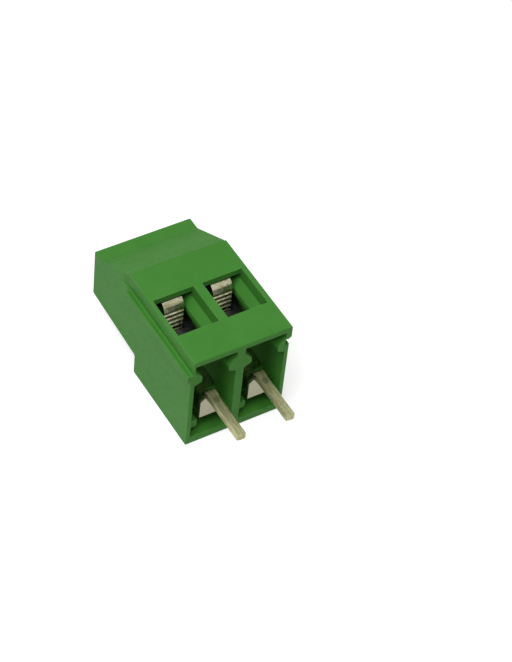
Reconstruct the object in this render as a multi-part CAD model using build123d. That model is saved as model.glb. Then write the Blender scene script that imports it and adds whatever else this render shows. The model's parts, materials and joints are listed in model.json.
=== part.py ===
"""Two-pole terminal block for a printed circuit board, with screw-driven rising clamps.

Millimetres. +X runs along the row of poles, +Y points from the wire side to the back,
+Z points away from the board. The origin lies on the board plane, midway between the pins.
"""
import os

from build123d import *

# Row of poles
pole_names = ("left", "right")
pitch = 5.08
block_width = len(pole_names) * pitch
left_x = -block_width / 2
right_x = block_width / 2
pole_x = {name: left_x + pitch / 2 + pitch * place for place, name in enumerate(pole_names)}

# Outline of the housing, seen from its end
pin_setback = 5.8
front_y = -pin_setback
base_depth = 11.2
back_y = front_y + base_depth
step_height = 10.0
front_height = 12.1
slope_run = 2.72
top_height = 18.3
brow_height = 1.5
slope_top = top_height - brow_height
top_depth = 5.6
back_lean = 0.55
top_front_y = front_y + slope_run
top_back_y = top_front_y + top_depth
step_y = top_back_y + back_lean
outline_rounding = 0.2
side_rounding = 0.1

# Cells inside the housing, one for each pole, open to the board
cell_width = 4.28
front_wall = 0.6
back_wall = 0.9
slope_wall = 1.07
roof_over_step = 0.9
cell_front_y = front_y + front_wall
cell_back_y = back_y - back_wall
cell_back_height = step_height - roof_over_step

# Wire windows in the front wall, each flush with the right wall of its cell
window_width = 4.16
window_bottom = 3.54
window_height = 4.7
window_shift = (cell_width - window_width) / 2

# Ribs on the walls of a cell: the front pair leads the wire in, the back pair holds the strip
rib_rise = 0.76
rib_root_front = 1.35
rib_tip_front = 2.15
rib_tip_back = 2.8
rib_root_back = 3.1
rib_rounding = 0.25
back_rib_rise = 0.92
back_rib_length = 0.9
back_rib_bottom = 0.5
back_rib_rounding = 0.3

# Tongue and notch that join block to block, and the lip that covers the joint in front
joint_height = 11.6
tongue_rise = 0.38
tongue_root_front = 1.6
tongue_crest_front = 1.5
tongue_crest_back = 2.4
tongue_root_back = 2.2
tongue_rounding = 0.075
joint_clearance = 0.05
lip_rise = 0.15
lip_depth = 1.4
lip_height = 12.0
relief_fade = 0.8

# Contact strip: pin, foot, upright, bar and front fold, bent from one strip
strip_thickness = 0.7
strip_width = 2.04
bend_radius = 0.1
fold_radius = 0.35
foot_bottom = 0.5
foot_width = 1.94
heel_rounding = 0.15
upright_back = 8.7
bar_bottom = 7.7
fold_front = 0.75
fold_rise = 1.9
fold_top = bar_bottom + fold_rise
shoulder_bottom = 3.4
shoulder_top = 6.2
shoulder_clearance = 0.02
pin_length = 5.3
pin_width = 0.95
pin_chamfer = 0.12
pin_tip_chamfer = 0.3
taper_back = 0.4
serration_start = 1.93
serration_pitch = 0.57
serration_count = 9
serration_depth = 0.14
serration_land = 0.33
bar_top = bar_bottom + strip_thickness
strip_back_y = front_y + upright_back

# Screw, captive between the bar and the roof of its head room
screw_setback = 5.8
screw_y = front_y + screw_setback
screw_diameter = 3.0
screw_tip_gap = 0.05
head_diameter = 4.0
head_height = 1.85
head_gap = 0.5
head_chamfer = 0.2
head_clearance = 0.1
slot_width = 0.8
slot_depth = 1.1
tip_chamfer = 0.35
access_diameter = 3.7
access_flare = 0.3

# Clamp cage that rides on the screw, shown raised; it travels down to open the clamp
cage_width = 3.9
cage_depth = 3.5
cage_wall = 0.8
cage_roof = 1.6
cage_floor = 7.37
cage_travel = 3.5
cage_bar_gap = 0.15
cage_side_gap = 0.2
cage_rounding = 0.5
cage_edge = 0.12
thread_clearance = 0.05
cage_bottom = cage_floor - cage_wall
cage_opening_top = bar_top + cage_bar_gap + cage_travel
cage_top = cage_opening_top + cage_roof
tap_radius = screw_diameter / 2 + thread_clearance
shaft_back_y = screw_y + cage_depth / 2 + cage_side_gap
shaft_top = cage_top + cage_side_gap
head_bottom = cage_top + head_gap
head_room_top = head_bottom + head_height + head_clearance


def from_front(distance):
    """Y of a point at this distance behind the front face."""
    return front_y + distance


def prism_along_x(points, x_start, x_end, rounding=0.0):
    """Solid whose section in the YZ plane has these corners."""
    with BuildPart() as prism:
        with BuildSketch(Plane.YZ.offset(x_start)):
            with BuildLine():
                Polyline(*points, close=True)
            make_face()
            if rounding:
                fillet(vertices(), rounding)
        extrude(amount=x_end - x_start)
    return prism.part


def prism_along_y(points, y_start, y_end):
    """Solid whose section in the XZ plane has these corners."""
    with BuildPart() as prism:
        with BuildSketch(Plane.XZ.offset(-y_end)):
            with BuildLine():
                Polyline(*points, close=True)
            make_face()
        extrude(amount=y_end - y_start)
    return prism.part


def prism_along_z(points, z_start, z_end, rounded=(), rounding=0.0):
    """Solid whose section in the XY plane has these corners, rounded where asked."""
    with BuildPart() as prism:
        with BuildSketch(Plane.XY.offset(z_start)):
            with BuildLine():
                Polyline(*points, close=True)
            make_face()
            if rounded:
                near = [vertices().sort_by_distance(Vector(x, y, z_start))[0] for x, y in rounded]
                fillet(near, rounding)
        extrude(amount=z_end - z_start)
    return prism.part


def block_between(x_start, x_end, y_start, y_end, z_start, z_end):
    """Box given by its two ends along each axis."""
    size = (x_end - x_start, y_end - y_start, z_end - z_start)
    return Pos(x_start, y_start, z_start) * Box(*size, align=(Align.MIN, Align.MIN, Align.MIN))


def upright_cylinder(x, radius, z_start, z_end):
    """Cylinder on the screw axis of the pole at x."""
    centred = (Align.CENTER, Align.CENTER, Align.MIN)
    return Pos(x, screw_y, z_start) * Cylinder(radius, z_end - z_start, align=centred)


def housing_shell():
    """Outside form of the housing, with its edges broken."""
    outline = [
        (front_y, 0),
        (front_y, front_height),
        (top_front_y, slope_top),
        (top_front_y, top_height),
        (top_back_y, top_height),
        (step_y, step_height),
        (back_y, step_height),
        (back_y, 0),
    ]
    shell = prism_along_x(outline, left_x, right_x, outline_rounding)
    for end in (shell.faces().sort_by(Axis.X)[0], shell.faces().sort_by(Axis.X)[-1]):
        shell = fillet(shell.edges().filter_by(lambda edge: edge in end.edges()), side_rounding)
    return shell


def cell_core(x):
    """Hollow of one cell, with the room for the cage above the bar."""
    slope = (slope_top - front_height) / slope_run
    ceiling_at_front = front_height + slope * front_wall - slope_wall * (1 + slope ** 2) ** 0.5
    shaft_front_y = cell_front_y + (shaft_top - ceiling_at_front) / slope
    outline = [
        (cell_front_y, 0),
        (cell_front_y, ceiling_at_front),
        (shaft_front_y, shaft_top),
        (shaft_back_y, shaft_top),
        (shaft_back_y, cell_back_height),
        (cell_back_y, cell_back_height),
        (cell_back_y, 0),
    ]
    return prism_along_x(outline, x - cell_width / 2, x + cell_width / 2)


def wire_window(x):
    """Cutter for one wire window."""
    left = x + window_shift - window_width / 2
    right = left + window_width
    return block_between(left, right, front_y, cell_front_y, window_bottom, window_bottom + window_height)


def screw_access(x):
    """Cutter for the head room and the screwdriver hole above it."""
    room = upright_cylinder(x, cell_width / 2, shaft_top, head_room_top)
    hole = upright_cylinder(x, access_diameter / 2, head_room_top, top_height)
    mouth = Pos(x, screw_y, top_height - access_flare) * Cone(
        access_diameter / 2,
        access_diameter / 2 + access_flare,
        access_flare,
        align=(Align.CENTER, Align.CENTER, Align.MIN),
    )
    return room + hole + mouth


def front_rib(x, side):
    """Lead-in rib on one wall of a cell; side is -1 on the left wall and 1 on the right."""
    wall = x + side * cell_width / 2
    tip = wall - side * rib_rise
    corners = [
        (wall, from_front(rib_root_front)),
        (tip, from_front(rib_tip_front)),
        (tip, from_front(rib_tip_back)),
        (wall, from_front(rib_root_back)),
    ]
    return prism_along_z(corners, 0, joint_height + front_wall, rounded=corners[1:3], rounding=rib_rounding)


def back_rib(x, side):
    """Rib behind the strip on one wall of a cell, short of the board."""
    wall = x + side * cell_width / 2
    tip = wall - side * back_rib_rise
    corners = [
        (wall, strip_back_y),
        (tip, strip_back_y),
        (tip, strip_back_y + back_rib_length),
        (wall, strip_back_y + back_rib_length),
    ]
    return prism_along_z(
        corners, back_rib_bottom, cell_back_height, rounded=corners[2:3], rounding=back_rib_rounding
    )


def tongue(x, clearance):
    """Undercut tongue on a side face at x; with a clearance it is the cutter for the notch."""
    crest = x - tongue_rise - clearance
    root = x + tongue_rise
    corners = [
        (root, from_front(tongue_root_front - clearance)),
        (x, from_front(tongue_root_front - clearance)),
        (crest, from_front(tongue_crest_front - clearance)),
        (crest, from_front(tongue_crest_back + clearance)),
        (x, from_front(tongue_root_back + clearance)),
        (root, from_front(tongue_root_back + clearance)),
    ]
    top = joint_height + clearance
    return prism_along_z(corners, 0, top, rounded=corners[2:4], rounding=tongue_rounding)


def lip():
    """Lip on the right side that covers the joint to the next block in front."""
    root = right_x - tongue_rise
    crest = right_x + lip_rise
    corners = [
        (root, front_y),
        (crest, front_y),
        (crest, from_front(lip_depth)),
        (root, from_front(lip_depth)),
    ]
    return prism_along_z(corners, 0, lip_height, rounded=corners[1:3], rounding=side_rounding)


def lip_relief():
    """Cutter at the front of the left side that makes room for the lip of the next block."""
    outside = left_x - lip_rise
    relief_x = left_x + lip_rise + joint_clearance
    full_height = lip_height + joint_clearance
    corners = [
        (outside, 0),
        (relief_x, 0),
        (relief_x, full_height),
        (left_x, full_height + relief_fade),
        (outside, full_height + relief_fade),
    ]
    return prism_along_y(corners, front_y, from_front(tongue_root_front))


def housing():
    """Moulded housing with its cells, windows, ribs and side joints."""
    body = housing_shell()
    for x in pole_x.values():
        body -= cell_core(x)
        body -= wire_window(x)
        body -= screw_access(x)
    for x in pole_x.values():
        for side in (-1, 1):
            body += front_rib(x, side)
            body += back_rib(x, side)
    body -= lip_relief()
    body += tongue(left_x, 0.0)
    body -= tongue(right_x, joint_clearance)
    return body + lip()


def contact_strip(x):
    """Bent strip with the solder pin at one end and the serrated bar at the other."""
    half = strip_thickness / 2
    bar_z = bar_bottom + half
    foot_z = foot_bottom + half
    upright_y = strip_back_y - half
    fold_y = from_front(fold_front) + half
    with BuildPart() as strip:
        with BuildSketch(Plane.YZ.offset(x - strip_width / 2)):
            with BuildLine():
                FilletPolyline(
                    (0, 0),
                    (0, foot_z),
                    (upright_y, foot_z),
                    (upright_y, bar_z),
                    (fold_y, bar_z),
                    (fold_y, fold_top),
                    radius=[bend_radius + half] * 3 + [fold_radius + half],
                )
            trace(line_width=strip_thickness)
        extrude(amount=strip_width)
    solid = strip.part + coined_heel(x)
    for side in (-1, 1):
        solid -= strip_side_waste(x, side)
        solid += strip_shoulder(x, side)
    for index in range(serration_count):
        solid -= serration_groove(x, index)
    return solid + solder_pin(x)


def solder_pin(x):
    """Pin below the board plane, coined at its corners and pointed at its tip."""
    pin = block_between(
        x - pin_width / 2, x + pin_width / 2, -strip_thickness / 2, strip_thickness / 2, -pin_length, 0
    )
    pin = chamfer(pin.faces().sort_by(Axis.Z)[0].edges(), pin_tip_chamfer)
    return chamfer(pin.edges().filter_by(Axis.Z), pin_chamfer)


def coined_heel(x):
    """Outer corner of the bend between foot and upright, pressed nearly square."""
    half = strip_width / 2
    front = strip_back_y - strip_thickness
    heel = block_between(x - half, x + half, front, strip_back_y, foot_bottom, foot_bottom + strip_thickness)
    back_edges = heel.faces().sort_by(Axis.Y)[-1].edges()
    return fillet(back_edges.sort_by(Axis.Z)[0], heel_rounding)


def strip_side_waste(x, side):
    """What is sheared off one side of the blank to leave the narrow pin, its taper and the foot."""
    edge = x + side * strip_width
    pin_side = x + side * pin_width / 2
    foot_side = x + side * foot_width / 2
    pin_back = strip_thickness / 2
    corners = [
        (edge, -strip_thickness),
        (pin_side, -strip_thickness),
        (pin_side, pin_back),
        (foot_side, pin_back + taper_back),
        (foot_side, strip_back_y + strip_thickness),
        (edge, strip_back_y + strip_thickness),
    ]
    return prism_along_z(corners, 0, foot_bottom + strip_thickness + bend_radius)


def strip_shoulder(x, side):
    """Shoulder on one edge of the upright that grips the wall of the cell."""
    inner = x + side * strip_width / 2
    outer = x + side * (cell_width / 2 - shoulder_clearance)
    front = strip_back_y - strip_thickness
    return block_between(
        min(inner, outer), max(inner, outer), front, strip_back_y, shoulder_bottom, shoulder_top
    )


def serration_groove(x, index):
    """Cutter for one groove across the underside of the bar."""
    start = from_front(serration_start) + index * serration_pitch
    corners = [
        (start, bar_bottom),
        (start + (serration_pitch - serration_land) / 2, bar_bottom + serration_depth),
        (start + serration_pitch - serration_land, bar_bottom),
    ]
    return prism_along_x(corners, x - strip_width, x + strip_width)


def clamp_cage(x):
    """Rising cage: a sheet box around the bar, with the screw's thread in its thick roof."""
    half_width = cage_width / 2
    inner_half = half_width - cage_wall
    with BuildPart() as cage:
        with BuildSketch(Plane.XZ.offset(-(screw_y + cage_depth / 2))):
            with Locations((x, (cage_bottom + cage_top) / 2)):
                RectangleRounded(cage_width, cage_top - cage_bottom, cage_rounding)
            with Locations((x, (cage_floor + cage_opening_top) / 2)):
                RectangleRounded(
                    2 * inner_half, cage_opening_top - cage_floor, cage_rounding / 2, mode=Mode.SUBTRACT
                )
        extrude(amount=cage_depth)
        ends = cage.faces().sort_by(Axis.Y)
        chamfer(ends[0].edges() + ends[-1].edges(), cage_edge)
    bore = upright_cylinder(x, tap_radius, bar_top, cage_top)
    return cage.part - bore


def terminal_screw(x):
    """Slotted cheese-head screw whose tip bears on the bar."""
    shank = upright_cylinder(x, screw_diameter / 2, bar_top + screw_tip_gap, head_bottom)
    shank = chamfer(shank.edges().sort_by(Axis.Z)[0], tip_chamfer)
    head_top = head_bottom + head_height
    head = upright_cylinder(x, head_diameter / 2, head_bottom, head_top)
    head = chamfer(head.edges().sort_by(Axis.Z)[-1], head_chamfer)
    slot_sides = (x - slot_width / 2, x + slot_width / 2)
    slot_ends = (screw_y - head_diameter, screw_y + head_diameter)
    return shank + head - block_between(*slot_sides, *slot_ends, head_top - slot_depth, head_top)


os.makedirs("parts", exist_ok=True)
export_step(housing(), "parts/housing.step")
for side_name, x in pole_x.items():
    export_step(contact_strip(x), f"parts/contact_strip_{side_name}.step")
    export_step(clamp_cage(x), f"parts/clamp_cage_{side_name}.step")
    export_step(terminal_screw(x), f"parts/terminal_screw_{side_name}.step")
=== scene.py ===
import json
import math

import bmesh
import bpy
from mathutils import Matrix, Vector


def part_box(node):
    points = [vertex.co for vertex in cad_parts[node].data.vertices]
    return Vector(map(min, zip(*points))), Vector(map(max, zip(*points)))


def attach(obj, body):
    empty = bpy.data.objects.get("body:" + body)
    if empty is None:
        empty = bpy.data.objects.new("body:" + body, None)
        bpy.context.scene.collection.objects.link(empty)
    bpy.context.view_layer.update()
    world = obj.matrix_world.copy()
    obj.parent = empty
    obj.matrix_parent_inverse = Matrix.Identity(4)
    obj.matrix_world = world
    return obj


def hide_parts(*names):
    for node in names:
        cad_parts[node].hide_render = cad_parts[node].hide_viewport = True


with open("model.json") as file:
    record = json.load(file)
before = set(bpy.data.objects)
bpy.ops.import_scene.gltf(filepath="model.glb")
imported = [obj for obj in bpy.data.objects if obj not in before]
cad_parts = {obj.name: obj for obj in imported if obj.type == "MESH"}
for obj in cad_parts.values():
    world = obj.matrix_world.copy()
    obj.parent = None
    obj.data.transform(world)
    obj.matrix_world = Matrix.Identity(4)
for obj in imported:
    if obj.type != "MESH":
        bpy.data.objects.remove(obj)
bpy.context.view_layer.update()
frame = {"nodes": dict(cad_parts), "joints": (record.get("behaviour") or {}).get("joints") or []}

MM = 0.001
NUMBER = "NodeSocketFloat"
VECTOR = "NodeSocketVector"

# Places taken from the frame
back_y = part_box("housing")[1].y
poles = ("left", "right")
joint_of_screw = {joint["child"]: joint for joint in frame["joints"]}
screw_axis = {side: Vector(joint_of_screw[f"screw_{side}"]["pos_m"]) for side in poles}
pitch = screw_axis["right"].x - screw_axis["left"].x

# Screw sizes, from the solids and the thread's standard
screw_box = {side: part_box(f"terminal_screw_{side}") for side in poles}
screw_bottom = screw_box["left"][0].z
screw_top = screw_box["left"][1].z
head_radius = (screw_box["left"][1].x - screw_box["left"][0].x) / 2
head_height = 1.85 * MM
head_edge = 0.2 * MM
thread_radius = 1.5 * MM
thread_pitch = 0.5 * MM
thread_depth = 0.27 * MM
thread_tip = 0.35 * MM
slot_width = 0.8 * MM
slot_depth = 1.1 * MM
slot_edge = 0.06 * MM
slot_corner = math.radians(50)
flank_steepness = 1.15
weld_distance = 0.001 * MM
head_sides = 64

# Marks on a contact strip, in millimetres above the board and behind the origin; pairs are soft borders
foot_height = 0.5
foot_front = 0.4
foot_level = (0.12, 0.2)
foot_start = (0.0, 0.1)
# darker brown oval on each pin, just below the board
oval_height = -0.55
oval_width = 0.3
oval_length = 0.42
oval_rim = (0.7, 1.1)
dip_line = (0.4, 1.6)
rolled_bottom = (0.6, 1.2)
rolled_top = (7.2, 7.6)

# Finishes, as linear colours
green_deep = (0.040, 0.196, 0.020, 1)
green_light = (0.047, 0.212, 0.026, 1)
# paler green for the painted highlight on the housing's edges
green_edge_highlight = (0.13, 0.34, 0.10, 1)
tin_dark = (0.29, 0.28, 0.14, 1)
tin_light = (0.54, 0.53, 0.39, 1)
tin_spot = (0.24, 0.23, 0.11, 1)
# pale tin for the painted highlight on the strips' edges
tin_edge_highlight = (0.82, 0.81, 0.68, 1)
dip_dark = (0.29, 0.29, 0.15, 1)
dip_light = (0.48, 0.47, 0.27, 1)
foot_grey = (0.36, 0.35, 0.25, 1)
oval_brown = (0.14, 0.15, 0.06, 1)
# nickel colours darkened far below nickel's own, painted shade so the cages show black inside the cells; the
# last one is the painted glint on their edges
nickel_shade_dark = (0.17, 0.18, 0.18, 1)
nickel_shade_light = (0.25, 0.26, 0.26, 1)
nickel_spot = (0.13, 0.13, 0.12, 1)
nickel_edge_glint = (0.82, 0.81, 0.74, 1)
zinc_dark = (0.60, 0.60, 0.58, 1)
zinc_light = (0.74, 0.74, 0.73, 1)
zinc_spot = (0.42, 0.42, 0.40, 1)
floor_pale = (0.58, 0.58, 0.58, 1)
white = (1.0, 1.0, 1.0, 1.0)

# How rough the finishes are, from their smoothest to their dullest spots, and their fine relief
green_roughness = (0.60, 0.68)
tin_roughness = (0.26, 0.36)
nickel_roughness = (0.28, 0.36)
zinc_roughness = (0.24, 0.4)
floor_roughness = 0.7
grain_depth = 0.02 * MM
line_stretch = (1.0, 0.06, 0.06)
ring_closeness = 45.0
ring_share = 0.35

# Studio: the fill lights the block, the white and the floor's glow are only for the eye
floor_reach = 0.6
floor_glow = 0.65
fill_strength = 0.22
white_strength = 1.0

# Lamps: name, place and width in millimetres, power in watts
lamp_target = Vector((0, 0, 8)) * MM
lamps = (
    ("key lamp", (-76, -182, -30), 150, 0.355),
    ("upper left lamp", (-60, -120, 150), 90, 0.012),
)

# Camera of the photograph, in millimetres
camera_place = Vector((-77.39, -155.47, -110.08)) * MM
camera_forward = Vector((0.39170, 0.73884, 0.54834))
camera_up = Vector((0.32764, -0.66891, 0.66725))
camera_lens = 123.7
camera_sensor = 36.0


class Shader:
    """Shorthand for building a node tree: each call adds nodes, sets them and gives what comes out."""

    def __init__(self, tree):
        self.tree = tree

    def add(self, kind, settings=None, **inputs):
        """Node of this kind with its properties set and its inputs set or linked by name."""
        node = self.tree.nodes.new(kind)
        for name, value in (settings or {}).items():
            setattr(node, name, value)
        for name, value in inputs.items():
            self.feed(node, name.replace("_", " "), value)
        return node

    def feed(self, node, name, value):
        """Links a socket to the input of this name or number, or writes a plain value there."""
        socket = node.inputs[int(name) if name.lstrip(" ").isdigit() else name]
        if isinstance(value, bpy.types.NodeSocket):
            self.tree.links.new(value, socket)
        else:
            socket.default_value = value

    def math(self, operation, first, second=0.0):
        """Result of a Math node."""
        node = self.add("ShaderNodeMath", {"operation": operation})
        self.feed(node, "0", first)
        self.feed(node, "1", second)
        return node.outputs[0]

    def mix_colour(self, share, first, second):
        """Result of mixing two colours."""
        node = self.add("ShaderNodeMix", {"data_type": "RGBA", "blend_type": "MIX"})
        self.feed(node, "0", share)
        self.feed(node, "6", first)
        self.feed(node, "7", second)
        return node.outputs[2]

    def spread(self, value, low, high, to_low=0.0, to_high=1.0):
        """Value moved from one range to another, kept inside it."""
        node = self.add("ShaderNodeMapRange", {"interpolation_type": "SMOOTHSTEP"}, Value=value)
        for name, number in (("From Min", low), ("From Max", high), ("To Min", to_low), ("To Max", to_high)):
            self.feed(node, name, number)
        return node.outputs[0]

    def noise(self, place, scale, detail=3.0, roughness=0.5, distortion=0.0):
        """Noise value over a place in millimetres."""
        node = self.add(
            "ShaderNodeTexNoise", None, Vector=place, Scale=scale, Detail=detail, Roughness=roughness
        )
        self.feed(node, "Distortion", distortion)
        return node.outputs["Fac"]


def node_group(name, inputs, outputs):
    """Empty shader group with named sockets, its inside and its two ends."""
    tree = bpy.data.node_groups.new(name, "ShaderNodeTree")
    for direction, sockets in (("INPUT", inputs), ("OUTPUT", outputs)):
        for socket_name, (kind, value) in sockets.items():
            socket = tree.interface.new_socket(socket_name, in_out=direction, socket_type=kind)
            if value is not None:
                socket.default_value = value
    inside = Shader(tree)
    return tree, inside, inside.add("NodeGroupInput"), inside.add("NodeGroupOutput")


def make_moulded_grain():
    """Fine spark-eroded texture of a mould, with slow unevenness of the pigment."""
    tree, inside, start, end = node_group(
        "moulded grain",
        {"Place": (VECTOR, None), "Grain": (NUMBER, 9.0), "Cloud": (NUMBER, 0.35)},
        {"Height": (NUMBER, None), "Tone": (NUMBER, None), "Shine": (NUMBER, None)},
    )
    place = start.outputs["Place"]
    coarse_scale = inside.math("MULTIPLY", start.outputs["Grain"], 0.27)
    fine = inside.noise(place, start.outputs["Grain"], detail=2.0, roughness=0.6)
    coarse = inside.noise(place, coarse_scale, detail=2.0, roughness=0.5)
    cloud = inside.noise(place, start.outputs["Cloud"], detail=3.0, roughness=0.55, distortion=0.6)
    height = inside.math("ADD", fine, inside.math("MULTIPLY", coarse, 0.6))
    inside.feed(end, "Height", height)
    inside.feed(end, "Tone", inside.spread(cloud, 0.3, 0.7))
    inside.feed(end, "Shine", inside.spread(coarse, 0.25, 0.75))
    return tree


def make_plating_mottle():
    """Uneven plating: soft patches, small dull spots and fine drawing lines."""
    tree, inside, start, end = node_group(
        "plating mottle",
        {"Place": (VECTOR, None), "Patch": (NUMBER, 1.2), "Spots": (NUMBER, 6.0), "Lines": (NUMBER, 14.0)},
        {
            "Patches": (NUMBER, None), "Dull": (NUMBER, None),
            "Drawn": (NUMBER, None), "Height": (NUMBER, None),
        },
    )
    place = start.outputs["Place"]
    patches = inside.noise(place, start.outputs["Patch"], detail=3.0, roughness=0.55, distortion=0.8)
    spots = inside.noise(place, start.outputs["Spots"], detail=2.0, roughness=0.6, distortion=0.3)
    drawn = inside.add("ShaderNodeMapping", {"vector_type": "POINT"}, Vector=place)
    inside.feed(drawn, "Scale", line_stretch)
    lines = inside.noise(drawn.outputs[0], start.outputs["Lines"], detail=2.0, roughness=0.7)
    inside.feed(end, "Patches", inside.spread(patches, 0.3, 0.7))
    inside.feed(end, "Dull", inside.spread(spots, 0.45, 0.75))
    inside.feed(end, "Drawn", inside.spread(lines, 0.35, 0.65))
    line_height = inside.math("MULTIPLY", lines, 0.5)
    spot_height = inside.math("MULTIPLY", spots, 0.6)
    inside.feed(end, "Height", inside.math("ADD", line_height, spot_height))
    return tree


def make_edge_highlight():
    """Mask of the edges of a piece, from how fast its surface turns, for the painted highlight that lightens
    their colour.
    """
    tree, inside, start, end = node_group(
        "edge highlight",
        {"Reach": (NUMBER, 0.12 * MM), "Strength": (NUMBER, 3.0)},
        {"Edge": (NUMBER, None)},
    )
    rounded = inside.add("ShaderNodeBevel", {"samples": 6}, Radius=start.outputs["Reach"])
    surface = inside.add("ShaderNodeNewGeometry")
    dot = inside.add("ShaderNodeVectorMath", {"operation": "DOT_PRODUCT"})
    inside.feed(dot, "0", rounded.outputs[0])
    inside.feed(dot, "1", surface.outputs["Normal"])
    turned = inside.math("SUBTRACT", 1.0, dot.outputs["Value"])
    stressed = inside.math("MULTIPLY", turned, start.outputs["Strength"])
    inside.feed(end, "Edge", inside.spread(stressed, 0.0, 1.0))
    return tree


def make_strip_marks():
    """Masks of a contact strip: dull foot, tin-dipped pin, darker oval on the pin, smooth rolled upright."""
    tree, inside, start, end = node_group(
        "strip marks",
        {
            "Place": (VECTOR, None), "Pole": (NUMBER, pitch / 2 / MM),
            "Foot Height": (NUMBER, foot_height), "Foot Front": (NUMBER, foot_front),
            "Oval Height": (NUMBER, oval_height), "Oval Width": (NUMBER, oval_width),
            "Oval Length": (NUMBER, oval_length),
        },
        {"Foot": (NUMBER, None), "Coined": (NUMBER, None), "Pin": (NUMBER, None), "Rolled": (NUMBER, None)},
    )
    split = inside.add("ShaderNodeSeparateXYZ", None, Vector=start.outputs["Place"])
    height = split.outputs["Z"]
    under_bar = inside.spread(height, *rolled_top, 1.0, 0.0)
    over_bend = inside.spread(height, *rolled_bottom)
    inside.feed(end, "Rolled", inside.math("MULTIPLY", under_bar, over_bend))
    inside.feed(end, "Pin", inside.spread(height, *dip_line, 1.0, 0.0))
    above = inside.math("ABSOLUTE", inside.math("SUBTRACT", height, start.outputs["Foot Height"]))
    level = inside.spread(above, *foot_level, 1.0, 0.0)
    behind = inside.math("SUBTRACT", split.outputs["Y"], start.outputs["Foot Front"])
    inside.feed(end, "Foot", inside.math("MULTIPLY", level, inside.spread(behind, *foot_start)))
    sideways = inside.math("SUBTRACT", inside.math("ABSOLUTE", split.outputs["X"]), start.outputs["Pole"])
    lengthways = inside.math("SUBTRACT", height, start.outputs["Oval Height"])
    across = inside.math("POWER", inside.math("DIVIDE", sideways, start.outputs["Oval Width"]), 2.0)
    along = inside.math("POWER", inside.math("DIVIDE", lengthways, start.outputs["Oval Length"]), 2.0)
    from_middle = inside.math("ADD", across, along)
    inside.feed(end, "Coined", inside.spread(from_middle, *oval_rim, 1.0, 0.0))
    return tree


moulded_grain = make_moulded_grain()
plating_mottle = make_plating_mottle()
edge_highlight = make_edge_highlight()
strip_marks = make_strip_marks()


def new_material(name):
    """Material with a Principled shader, and the place on the piece in millimetres."""
    material = bpy.data.materials.new(name)
    material.use_nodes = True
    material.node_tree.nodes.clear()
    shader = Shader(material.node_tree)
    surface = shader.add("ShaderNodeBsdfPrincipled")
    output = shader.add("ShaderNodeOutputMaterial")
    shader.feed(output, "Surface", surface.outputs[0])
    coordinates = shader.add("ShaderNodeTexCoord")
    scaled = shader.add("ShaderNodeMapping", {"vector_type": "POINT"}, Vector=coordinates.outputs["Object"])
    shader.feed(scaled, "Scale", (1 / MM, 1 / MM, 1 / MM))
    return material, shader, surface, scaled.outputs[0]


def group_node(shader, tree, **inputs):
    """Shared effect placed in a material with its own values."""
    node = shader.add("ShaderNodeGroup", {"node_tree": tree})
    for name, value in inputs.items():
        shader.feed(node, name, value)
    return node.outputs


def add_bump(shader, surface, strength, height):
    """Fine relief on the surface."""
    bump = shader.add("ShaderNodeBump", None, Strength=strength, Distance=grain_depth, Height=height)
    shader.feed(surface, "Normal", bump.outputs[0])


def green_plastic():
    """Satin polyamide of the housing, its edges lightened as a painted highlight."""
    material, shader, surface, place = new_material("green moulded plastic")
    grain = group_node(shader, moulded_grain, Place=place, Grain=8.0, Cloud=0.3)
    edge = group_node(shader, edge_highlight, Reach=0.15 * MM, Strength=2.5)
    base = shader.mix_colour(grain["Tone"], green_deep, green_light)
    # painted highlight: the edges are lightened towards the paler green
    highlighted = shader.mix_colour(shader.math("MULTIPLY", edge["Edge"], 0.6), base, green_edge_highlight)
    shader.feed(surface, "Base Color", highlighted)
    shader.feed(surface, "Roughness", shader.spread(grain["Shine"], 0.0, 1.0, *green_roughness))
    add_bump(shader, surface, strength=0.12, height=grain["Height"])
    surface.inputs["IOR"].default_value = 1.5
    surface.inputs["Specular IOR Level"].default_value = 0.3
    surface.inputs["Specular Tint"].default_value = (1.0, 1.0, 0.88, 1.0)
    return material


def tinned_strip():
    """Tin-plated brass of the contact strips, its edges lightened as a painted highlight."""
    material, shader, surface, place = new_material("tin plated strip")
    mottle = group_node(shader, plating_mottle, Place=place, Patch=2.2, Spots=4.0, Lines=9.0)
    marks = group_node(shader, strip_marks, Place=place)
    edge = group_node(shader, edge_highlight, Reach=0.07 * MM, Strength=2.5)
    warm = shader.mix_colour(mottle["Patches"], tin_dark, tin_light)
    dip = shader.mix_colour(mottle["Drawn"], dip_dark, dip_light)
    dipped = shader.mix_colour(marks["Pin"], warm, dip)
    spotted = shader.math("MULTIPLY", mottle["Dull"], shader.math("SUBTRACT", 0.6, marks["Rolled"]))
    dulled = shader.mix_colour(shader.math("MAXIMUM", spotted, 0.0), dipped, tin_spot)
    flat = shader.mix_colour(marks["Foot"], dulled, foot_grey)
    # darker brown oval on the pin, just below the board
    with_oval = shader.mix_colour(shader.math("MULTIPLY", marks["Coined"], 0.6), flat, oval_brown)
    # painted highlight: the edges are lightened towards pale tin
    bright = shader.mix_colour(shader.math("MULTIPLY", edge["Edge"], 0.5), with_oval, tin_edge_highlight)
    shader.feed(surface, "Base Color", bright)
    rough = shader.spread(mottle["Dull"], 0.0, 1.0, *tin_roughness)
    worn = shader.math("MULTIPLY", shader.math("MAXIMUM", marks["Foot"], marks["Pin"]), 0.2)
    smooth = shader.math("SUBTRACT", 1.0, shader.math("MULTIPLY", marks["Rolled"], 0.75))
    shader.feed(surface, "Roughness", shader.math("MULTIPLY", shader.math("ADD", rough, worn), smooth))
    surface.inputs["Metallic"].default_value = 1.0
    add_bump(shader, surface, strength=0.05, height=mottle["Height"])
    return material


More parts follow.
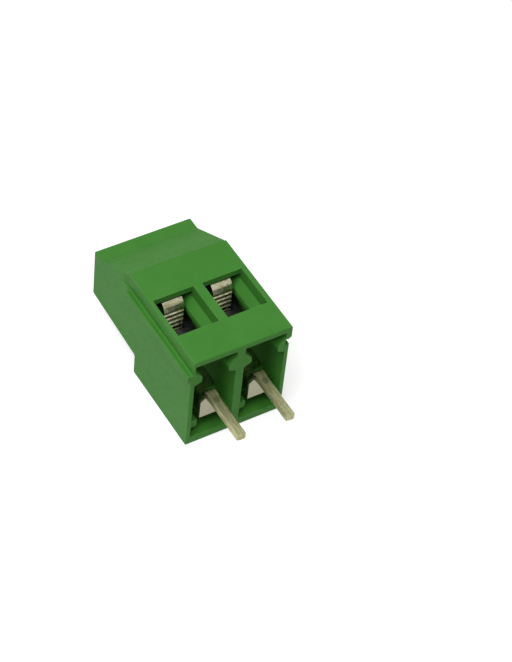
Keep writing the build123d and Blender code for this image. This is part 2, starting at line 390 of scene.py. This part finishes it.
def plated_cage():
    """Nickel-plated brass of the clamp cages, its colours darkened far below nickel's as painted shade of
    the cells, its edges lightened as a painted glint.
    """
    material, shader, surface, place = new_material("nickel plated cage")
    mottle = group_node(shader, plating_mottle, Place=place, Patch=0.8, Spots=3.0, Lines=9.0)
    edge = group_node(shader, edge_highlight, Reach=0.12 * MM, Strength=3.0)
    base = shader.mix_colour(mottle["Patches"], nickel_shade_dark, nickel_shade_light)
    dulled = shader.mix_colour(shader.math("MULTIPLY", mottle["Dull"], 0.6), base, nickel_spot)
    # painted glint: the edges are lightened towards pale nickel
    shader.feed(surface, "Base Color", shader.mix_colour(edge["Edge"], dulled, nickel_edge_glint))
    shader.feed(surface, "Roughness", shader.spread(mottle["Dull"], 0.0, 1.0, *nickel_roughness))
    surface.inputs["Metallic"].default_value = 1.0
    add_bump(shader, surface, strength=0.03, height=mottle["Height"])
    return material


def plated_screw():
    """Zinc-plated steel of the screws, with the rings that turning leaves."""
    material, shader, surface, place = new_material("zinc plated screw")
    own = shader.add("ShaderNodeAttribute", {"attribute_name": "from_axis", "attribute_type": "GEOMETRY"})
    mottle = group_node(shader, plating_mottle, Place=place, Patch=0.9, Spots=8.0, Lines=10.0)
    flat = shader.add("ShaderNodeVectorMath", {"operation": "MULTIPLY"})
    shader.feed(flat, "0", own.outputs["Vector"])
    shader.feed(flat, "1", (1.0, 1.0, 0.0))
    radius = shader.add("ShaderNodeVectorMath", {"operation": "LENGTH"})
    shader.feed(radius, "0", flat.outputs[0])
    rings = shader.math("SINE", shader.math("MULTIPLY", radius.outputs["Value"], ring_closeness))
    base = shader.mix_colour(mottle["Patches"], zinc_dark, zinc_light)
    shader.feed(surface, "Base Color", shader.mix_colour(mottle["Dull"], base, zinc_spot))
    shader.feed(surface, "Roughness", shader.spread(mottle["Dull"], 0.0, 1.0, *zinc_roughness))
    surface.inputs["Metallic"].default_value = 1.0
    height = shader.math("ADD", mottle["Height"], shader.math("MULTIPLY", rings, ring_share))
    add_bump(shader, surface, strength=0.25, height=height)
    return material


materials = {
    "housing": green_plastic(),
    "contact_strip": tinned_strip(),
    "clamp_cage": plated_cage(),
    "screw": plated_screw(),
}


def dress_node(name, material):
    """Puts a finish on the slots of a carried-over node."""
    node = frame["nodes"][name]
    node.data.materials.clear()
    node.data.materials.append(material)


def geometry_group(name, inputs):
    """Empty geometry tree with named inputs, its inside and its two ends."""
    tree = bpy.data.node_groups.new(name, "GeometryNodeTree")
    tree.interface.new_socket("Geometry", in_out="OUTPUT", socket_type="NodeSocketGeometry")
    for socket_name, (kind, value) in inputs.items():
        socket = tree.interface.new_socket(socket_name, in_out="INPUT", socket_type=kind)
        if value is not None:
            socket.default_value = value
    inside = Shader(tree)
    return tree, inside, inside.add("NodeGroupInput"), inside.add("NodeGroupOutput")


def make_threaded_shank():
    """Screw thread as a sheet rolled round its axis: the radius follows the helix."""
    tree, inside, start, end = geometry_group(
        "threaded shank",
        {
            "Radius": (NUMBER, thread_radius),
            "Pitch": (NUMBER, thread_pitch),
            "Depth": (NUMBER, thread_depth),
            "Length": (NUMBER, 5.0 * MM),
            "Tip": (NUMBER, thread_tip),
            "Rows": ("NodeSocketInt", 121),
            "Sides": ("NodeSocketInt", 49),
            "Material": ("NodeSocketMaterial", None),
        },
    )
    value = start.outputs
    sheet = inside.add("GeometryNodeMeshGrid", None, Size_X=1.0, Size_Y=1.0)
    inside.feed(sheet, "Vertices X", value["Rows"])
    inside.feed(sheet, "Vertices Y", value["Sides"])
    place = inside.add("GeometryNodeInputPosition")
    split = inside.add("ShaderNodeSeparateXYZ", None, Vector=place.outputs[0])
    along = inside.math("ADD", split.outputs["X"], 0.5)
    row_step = inside.math("DIVIDE", 1.0, inside.math("SUBTRACT", value["Rows"], 1.0))
    inner_rows = inside.math("SUBTRACT", 1.0, inside.math("MULTIPLY", row_step, 2.0))
    share = inside.math("DIVIDE", inside.math("SUBTRACT", along, row_step), inner_rows)
    clamped = inside.math("MINIMUM", inside.math("MAXIMUM", share, 0.0), 1.0)
    height = inside.math("MULTIPLY", clamped, value["Length"])
    turn = inside.math("ADD", split.outputs["Y"], 0.5)
    angle = inside.math("MULTIPLY", turn, 2 * math.pi)
    turns_up = inside.math("DIVIDE", height, value["Pitch"])
    phase = inside.math("FRACT", inside.math("SUBTRACT", turns_up, turn))
    from_root = inside.math("SUBTRACT", inside.math("MULTIPLY", phase, 2.0), 1.0)
    groove = inside.math("SUBTRACT", 1.0, inside.math("ABSOLUTE", from_root))
    cut = inside.math("MINIMUM", inside.math("MULTIPLY", groove, flank_steepness), 1.0)
    threaded = inside.math("SUBTRACT", value["Radius"], inside.math("MULTIPLY", cut, value["Depth"]))
    tip_radius = inside.math("ADD", inside.math("SUBTRACT", value["Radius"], value["Tip"]), height)
    radius = inside.math("MINIMUM", threaded, tip_radius)
    half_row = inside.math("MULTIPLY", row_step, 0.5)
    past_tip = inside.math("GREATER_THAN", along, half_row)
    before_head = inside.math("LESS_THAN", along, inside.math("SUBTRACT", 1.0, half_row))
    closed = inside.math("MULTIPLY", radius, inside.math("MULTIPLY", past_tip, before_head))
    rolled = inside.add("ShaderNodeCombineXYZ")
    inside.feed(rolled, "X", inside.math("MULTIPLY", closed, inside.math("COSINE", angle)))
    inside.feed(rolled, "Y", inside.math("MULTIPLY", closed, inside.math("SINE", angle)))
    inside.feed(rolled, "Z", height)
    shank = inside.add("GeometryNodeSetPosition", None, Geometry=sheet.outputs["Mesh"])
    inside.feed(shank, "Position", rolled.outputs[0])
    merged = inside.add("GeometryNodeMergeByDistance", None, Geometry=shank.outputs[0])
    inside.feed(merged, "Distance", weld_distance)
    real = inside.add("GeometryNodeRealizeInstances", None, Geometry=merged.outputs[0])
    finished = inside.add("GeometryNodeSetMaterial", None, Geometry=real.outputs[0])
    inside.feed(finished, "Material", value["Material"])
    inside.feed(end, "Geometry", finished.outputs[0])
    return tree


def grown_mesh(tree, values):
    """Plain mesh that a geometry tree makes with these inputs."""
    seed_mesh = bpy.data.meshes.new(tree.name)
    seed = bpy.data.objects.new(tree.name, seed_mesh)
    bpy.context.scene.collection.objects.link(seed)
    modifier = seed.modifiers.new(tree.name, "NODES")
    modifier.node_group = tree
    for item in tree.interface.items_tree:
        if item.in_out == "INPUT" and item.name in values:
            modifier[item.identifier] = values[item.name]
    graph = bpy.context.evaluated_depsgraph_get()
    mesh = bpy.data.meshes.new_from_object(seed.evaluated_get(graph))
    bpy.data.objects.remove(seed)
    return mesh


def turned_solid(profile, sides):
    """Closed solid turned from (radius, height) points that begin and end on the axis, bottom first."""
    work = bmesh.new()
    angles = [2 * math.pi * step / sides for step in range(sides)]
    rings = []
    for radius, height in profile:
        if radius == 0:
            rings.append([work.verts.new((0, 0, height))])
            continue
        rings.append([
            work.verts.new((radius * math.cos(angle), radius * math.sin(angle), height)) for angle in angles
        ])
    for lower, upper in zip(rings, rings[1:]):
        for step in range(sides):
            after = (step + 1) % sides
            if len(lower) == 1:
                work.faces.new((lower[0], upper[after], upper[step]))
            elif len(upper) == 1:
                work.faces.new((lower[step], lower[after], upper[0]))
            else:
                work.faces.new((lower[step], lower[after], upper[after], upper[step]))
    mesh = bpy.data.meshes.new("turned")
    work.to_mesh(mesh)
    work.free()
    return mesh


def slotted_head():
    """Cheese head with its slot cut and its edges broken."""
    bottom = screw_top - head_height
    profile = [
        (0, bottom),
        (head_radius - head_edge / 2, bottom),
        (head_radius, bottom + head_edge / 2),
        (head_radius, screw_top - head_edge),
        (head_radius - head_edge, screw_top),
        (0, screw_top),
    ]
    head = bpy.data.objects.new("head", turned_solid(profile, head_sides))
    cutter_mesh = bpy.data.meshes.new("slot")
    work = bmesh.new()
    bmesh.ops.create_cube(work, size=1.0)
    size = Matrix.Diagonal((slot_width, 3 * head_radius, 2 * slot_depth, 1.0))
    bmesh.ops.transform(work, matrix=Matrix.Translation((0, 0, screw_top)) @ size, verts=work.verts)
    work.to_mesh(cutter_mesh)
    work.free()
    cutter = bpy.data.objects.new("slot", cutter_mesh)
    for part in (head, cutter):
        bpy.context.scene.collection.objects.link(part)
    cut = head.modifiers.new("slot", "BOOLEAN")
    cut.operation = "DIFFERENCE"
    cut.object = cutter
    cut.solver = "EXACT"
    edge = head.modifiers.new("edges", "BEVEL")
    edge.width = slot_edge
    edge.segments = 2
    edge.limit_method = "ANGLE"
    edge.angle_limit = slot_corner
    graph = bpy.context.evaluated_depsgraph_get()
    mesh = bpy.data.meshes.new_from_object(head.evaluated_get(graph))
    for part in (head, cutter):
        bpy.data.objects.remove(part)
    return mesh


def dress_screw(side, shank_mesh, head_mesh):
    """Puts a threaded screw in place of the plain one of this pole, with its faces outwards."""
    work = bmesh.new()
    work.from_mesh(shank_mesh)
    bmesh.ops.translate(work, verts=work.verts, vec=(0, 0, screw_bottom))
    work.from_mesh(head_mesh)
    bmesh.ops.recalc_face_normals(work, faces=work.faces)
    own = work.verts.layers.float_vector.new("from_axis")
    axis = screw_axis[side]
    for vertex in work.verts:
        vertex[own] = vertex.co / MM
    bmesh.ops.translate(work, verts=work.verts, vec=(axis.x, axis.y, 0))
    mesh = bpy.data.meshes.new(f"threaded_screw_{side}")
    work.to_mesh(mesh)
    work.free()
    mesh.materials.clear()
    mesh.materials.append(materials["screw"])
    mesh.shade_smooth()
    screw = bpy.data.objects.new(f"threaded_screw_{side}", mesh)
    bpy.context.scene.collection.objects.link(screw)
    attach(screw, f"screw_{side}")
    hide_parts(f"terminal_screw_{side}")


def dress_everything():
    """Finishes on the carried-over nodes, and threaded screws in place of the plain ones."""
    dress_node("housing", materials["housing"])
    shank_length = screw_top - head_height - screw_bottom + head_edge
    shank_values = {
        "Radius": thread_radius, "Pitch": thread_pitch, "Depth": thread_depth,
        "Length": shank_length, "Tip": thread_tip, "Material": materials["screw"],
    }
    shank_mesh = grown_mesh(make_threaded_shank(), shank_values)
    head_mesh = slotted_head()
    for side in poles:
        dress_node(f"contact_strip_{side}", materials["contact_strip"])
        dress_node(f"clamp_cage_{side}", materials["clamp_cage"])
        dress_screw(side, shank_mesh, head_mesh)


def seen_share(shader):
    """1 where the eye looks, directly, in a reflection or through something clear, and 0 for lighting."""
    rays = shader.add("ShaderNodeLightPath")
    seen = shader.math("MAXIMUM", rays.outputs["Is Camera Ray"], rays.outputs["Is Glossy Ray"])
    return shader.math("MAXIMUM", seen, rays.outputs["Is Transmission Ray"])


def floor_material():
    """Pale floor that is white to the eye, keeps the shadow and can't be seen from behind."""
    material = bpy.data.materials.new("pale floor")
    material.use_nodes = True
    material.node_tree.nodes.clear()
    shader = Shader(material.node_tree)
    pale = shader.add("ShaderNodeBsdfPrincipled")
    pale.inputs["Base Color"].default_value = floor_pale
    pale.inputs["Roughness"].default_value = floor_roughness
    glow = shader.add("ShaderNodeEmission")
    shader.feed(glow, "Strength", shader.math("MULTIPLY", seen_share(shader), floor_glow))
    both = shader.add("ShaderNodeAddShader")
    shader.feed(both, "0", pale.outputs[0])
    shader.feed(both, "1", glow.outputs[0])
    clear = shader.add("ShaderNodeBsdfTransparent")
    side = shader.add("ShaderNodeNewGeometry")
    mixed = shader.add("ShaderNodeMixShader")
    shader.feed(mixed, "0", side.outputs["Backfacing"])
    shader.feed(mixed, "1", both.outputs[0])
    shader.feed(mixed, "2", clear.outputs[0])
    output = shader.add("ShaderNodeOutputMaterial")
    shader.feed(output, "Surface", mixed.outputs[0])
    return material


def make_floor():
    """Floor that the block lies on with its back, facing the wire side."""
    low, high = -floor_reach, floor_reach
    mesh = bpy.data.meshes.new("floor")
    work = bmesh.new()
    corners = [(low, back_y, low), (high, back_y, low), (high, back_y, high), (low, back_y, high)]
    work.faces.new([work.verts.new(corner) for corner in corners])
    work.to_mesh(mesh)
    work.free()
    mesh.materials.append(floor_material())
    floor = bpy.data.objects.new("floor", mesh)
    bpy.context.scene.collection.objects.link(floor)


def make_lamp(name, place, size, power):
    """Round area lamp, in millimetres and watts, turned to the middle of the block."""
    light = bpy.data.lights.new(name, "AREA")
    light.shape = "DISK"
    light.size = size * MM
    light.energy = power
    lamp = bpy.data.objects.new(name, light)
    lamp.location = Vector(place) * MM
    lamp.rotation_mode = "QUATERNION"
    lamp.rotation_quaternion = (lamp_target - lamp.location).to_track_quat("-Z", "Y")
    bpy.context.scene.collection.objects.link(lamp)


def make_world():
    """White studio: full strength where it is seen, an even fill where it lights."""
    world = bpy.data.worlds.new("studio")
    bpy.context.scene.world = world
    world.use_nodes = True
    world.node_tree.nodes.clear()
    shader = Shader(world.node_tree)
    background = shader.add("ShaderNodeBackground")
    background.inputs["Color"].default_value = white
    strength = shader.spread(seen_share(shader), 0.0, 1.0, fill_strength, white_strength)
    shader.feed(background, "Strength", strength)
    output = shader.add("ShaderNodeOutputWorld")
    shader.feed(output, "Surface", background.outputs[0])


def make_camera():
    """Camera at the photograph's place."""
    data = bpy.data.cameras.new("camera")
    data.lens = camera_lens
    data.sensor_width = camera_sensor
    data.clip_start = 1 * MM
    data.clip_end = 10.0
    camera = bpy.data.objects.new("camera", data)
    back = -camera_forward.normalized()
    up = (camera_up - back * camera_up.dot(back)).normalized()
    right = up.cross(back)
    turn = Matrix((right, up, back)).transposed().to_4x4()
    camera.matrix_world = Matrix.Translation(camera_place) @ turn
    bpy.context.scene.collection.objects.link(camera)
    bpy.context.scene.camera = camera


dress_everything()
make_floor()
make_world()
for lamp_row in lamps:
    make_lamp(*lamp_row)
make_camera()
bpy.context.scene.view_settings.view_transform = "Standard"
